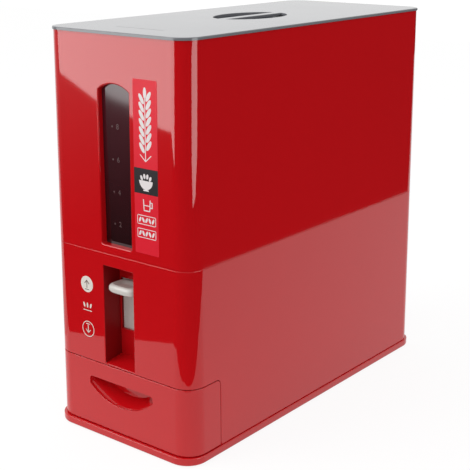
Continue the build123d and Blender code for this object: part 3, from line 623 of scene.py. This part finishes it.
# ---- Lever marks
# Two round prints left of the lever: a filled disc where the pad rests, and a ring where it stops. Each has
# a plain arrow, and three grains over a line stand between them.
cream = plastic("printed cream", (0.84, 0.79, 0.72), (0.82, 0.77, 0.70), 0.35)
finish_node("mark_measure", cream)
finish_node("mark_release", cream)
print_grey = plastic("printed grey", (0.16, 0.10, 0.09), (0.14, 0.09, 0.08), 0.35)


def draw_arrow(work, way):
    """A plain arrow that points up (1) or down (-1), with a line across its tail."""
    stroke, barb_spread, barb_lean = 0.0008, 0.0014, radians(42)
    bar(work, 0, -0.0004 * way, stroke, 0.0070)
    for side in (-1, 1):
        bar(work, side * barb_spread, 0.0022 * way, stroke, 0.0044, side * way * barb_lean)
    bar(work, 0, -0.0050 * way, 0.0052, 0.0007)


marks = {}
for node in ("mark_measure", "mark_release"):
    low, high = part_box(node)
    marks[node] = ((low[0] + high[0]) / 2, (low[2] + high[2]) / 2, (low[1] + high[1]) / 2)
over_mark, over_case = 0.00006, 0.00004
for name, node, material, way in (
    ("arrow_up", "mark_measure", print_grey, 1), ("arrow_down", "mark_release", cream, -1),
):
    arrow = bmesh.new()
    draw_arrow(arrow, way)
    x, z, y = marks[node]
    printed(name, standing(arrow, name, x, z, y - over_mark), material)
grains = bmesh.new()
for side in (-1, 0, 1):
    oval(grains, side * 0.0042, 0.0014, 0.0010, 0.0025, -side * 0.3)
bar(grains, 0, -0.0036, 0.0110, 0.0007)
x, z, y = ((a + b) / 2 for a, b in zip(marks["mark_measure"], marks["mark_release"]))
printed("lever_grains", standing(grains, "lever_grains", x, z, y - over_case), cream)

# ---- Lever
# An ivory pad with a full round rim and a dished top, joined through the slot to an upright slide that covers
# it from behind. The slide's arm carries the rack that turns the drum.
ivory = plastic("ivory lever", (0.70, 0.67, 0.63), (0.67, 0.64, 0.60), 0.18, 0.08, warp=0.05)
pad_low, pad_high = (Vector(corner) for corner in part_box("lever_pad"))
pad_half, pad_middle = (pad_high - pad_low) / 2, (pad_high + pad_low) / 2
pad_round, pad_squareness, dish_depth, dish_slope = 0.0034, 3.8, 0.0034, 0.0042
pad_sides, round_steps, dish_steps = 72, 6, 6
quarter = [pi / 2 * step / round_steps for step in range(round_steps + 1)]
# Each ring is how far in from the pad's outline it lies, and its height.
pad_rings = [(pad_round * (1 - sin(angle)), pad_low.z + pad_round * (1 - cos(angle))) for angle in quarter]
pad_rings += [(pad_round * (1 - cos(angle)), pad_high.z - pad_round * (1 - sin(angle))) for angle in quarter]
for step in range(1, dish_steps + 1):
    sunk = dish_depth * (1 - cos(pi * step / dish_steps)) / 2
    pad_rings.append((pad_round + dish_slope * step / dish_steps, pad_high.z - sunk))
pad = bmesh.new()
bmesh.ops.create_circle(pad, segments=pad_sides, radius=1)
for corner in pad.verts:
    reach = abs(corner.co.x) ** pad_squareness + abs(corner.co.y) ** pad_squareness
    corner.co *= reach ** (-1 / pad_squareness)
inset, height = pad_rings[0]
bmesh.ops.scale(pad, verts=pad.verts, vec=(pad_half.x - inset, pad_half.y - inset, 1))
bmesh.ops.translate(pad, verts=pad.verts, vec=(pad_middle.x, pad_middle.y, height))
ring_edges = pad.edges[:]
for next_inset, next_height in pad_rings[1:]:
    grown = bmesh.ops.extrude_edge_only(pad, edges=ring_edges)["geom"]
    ring = [item for item in grown if isinstance(item, bmesh.types.BMVert)]
    ring_edges = [
        item for item in grown
        if isinstance(item, bmesh.types.BMEdge) and item.verts[0] in ring and item.verts[1] in ring
    ]
    shrink_x = (pad_half.x - next_inset) / (pad_half.x - inset)
    shrink_y = (pad_half.y - next_inset) / (pad_half.y - inset)
    bmesh.ops.scale(pad, verts=ring, vec=(shrink_x, shrink_y, 1), space=Matrix.Translation(-pad_middle))
    bmesh.ops.translate(pad, verts=ring, vec=(0, 0, next_height - height))
    inset, height = next_inset, next_height
bmesh.ops.remove_doubles(pad, verts=pad.verts, dist=1e-6)
bmesh.ops.holes_fill(pad, edges=pad.edges, sides=0)
bmesh.ops.recalc_face_normals(pad, faces=pad.faces)
for panel in pad.faces:
    panel.smooth = True
pad_mesh = bpy.data.meshes.new("lever_pad_rounded")
pad.to_mesh(pad_mesh)
pad.free()
pad_mesh.materials.append(ivory)
pad_piece = bpy.data.objects.new("lever_pad_rounded", pad_mesh)
bpy.context.scene.collection.objects.link(pad_piece)
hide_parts("lever_pad")
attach(pad_piece, "lever")
finish_node("lever_slide", ivory)

# ---- Drawer
# A red front that wraps round both corners, with a smile-shaped hand hole, the closed scoop behind it, and
# the tray that catches the rice.
drawer_low, drawer_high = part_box("drawer_front")
hole_margin, hole_reach = 0.01, 0.045


def hand_hole_rim(edge):
    """Whether a rim edge belongs to the hand hole, and not to the drawer front's outline."""
    middle = (edge.verts[0].co + edge.verts[1].co) / 2
    inside_front = drawer_low[2] + hole_margin < middle.z < drawer_high[2] - hole_margin
    return skin_rim(edge) and inside_front and abs(middle.x) < hole_reach


rounded_copy(
    "drawer_front", "drawer_face", red_shell,
    (0.0011, 4, hand_hole_rim),
    (0.0005, 3, lambda edge: skin_rim(edge) and not hand_hole_rim(edge)),
)
rounded_copy("handle_scoop", "drawer_scoop", red_shell)
finish_node("drawer_tray", red_shell)

# ---- Works
# The funnel under the tank, the drum's housing and the measuring drum are pale plastics. The screws, the
# clip and the return spring are plated steel.
inner_grey = plastic("inner grey", (0.50, 0.50, 0.52), (0.47, 0.47, 0.49), 0.3)
finish_node("hopper_funnel", inner_grey)
finish_node("drum_housing", inner_grey)
drum_white = plastic("drum white", (0.80, 0.80, 0.78), (0.77, 0.77, 0.75), 0.3)
finish_node("measuring_drum", drum_white)
finish_node("drum_pinion", drum_white)
steel = plastic("plated steel", (0.5, 0.5, 0.52), (0.45, 0.45, 0.47), 0.3)
steel.node_tree.nodes["Principled BSDF"].inputs["Metallic"].default_value = 1.0
finish_node("housing_screws", steel)
finish_node("drum_clip", steel)
# The spring stands between the case and the lever's arm; the real one shortens by the lever's travel. Here it
# is only given a mesh of its own.
spring = rounded_copy("return_spring", "lever_spring", steel)
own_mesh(spring)

# ---- Lid
# A grey plate that lifts off. Two crescents with rounded rims, either side of a bar, let the fingers in over
# a slate bowl fixed under the plate, and a rubber seal runs round its skirt.
lid_grey = plastic(
    "lid grey", (0.205, 0.209, 0.226), (0.195, 0.199, 0.216), 0.10, 0.05,
    warp=0.02, ripple=0.02, specular=0.45,
)
lid_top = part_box("lid_plate")[1][2]
crescents_reach_x, crescents_reach_y = 0.031, 0.045


def crescent_rim(edge):
    """Whether an edge bounds one of the crescents in the lid's top face."""
    middle = (edge.verts[0].co + edge.verts[1].co) / 2
    in_reach = abs(middle.x) < crescents_reach_x and abs(middle.y) < crescents_reach_y
    return middle.z > lid_top - 1e-4 and in_reach


rounded_copy("lid_plate", "lid_top", lid_grey, (0.0005, 3, crescent_rim))
slate = plastic("slate bowl", (0.050, 0.056, 0.070), (0.042, 0.048, 0.062), 0.25)
finish_node("lid_bowl", slate)
finish_node("lid_seal", rubber)
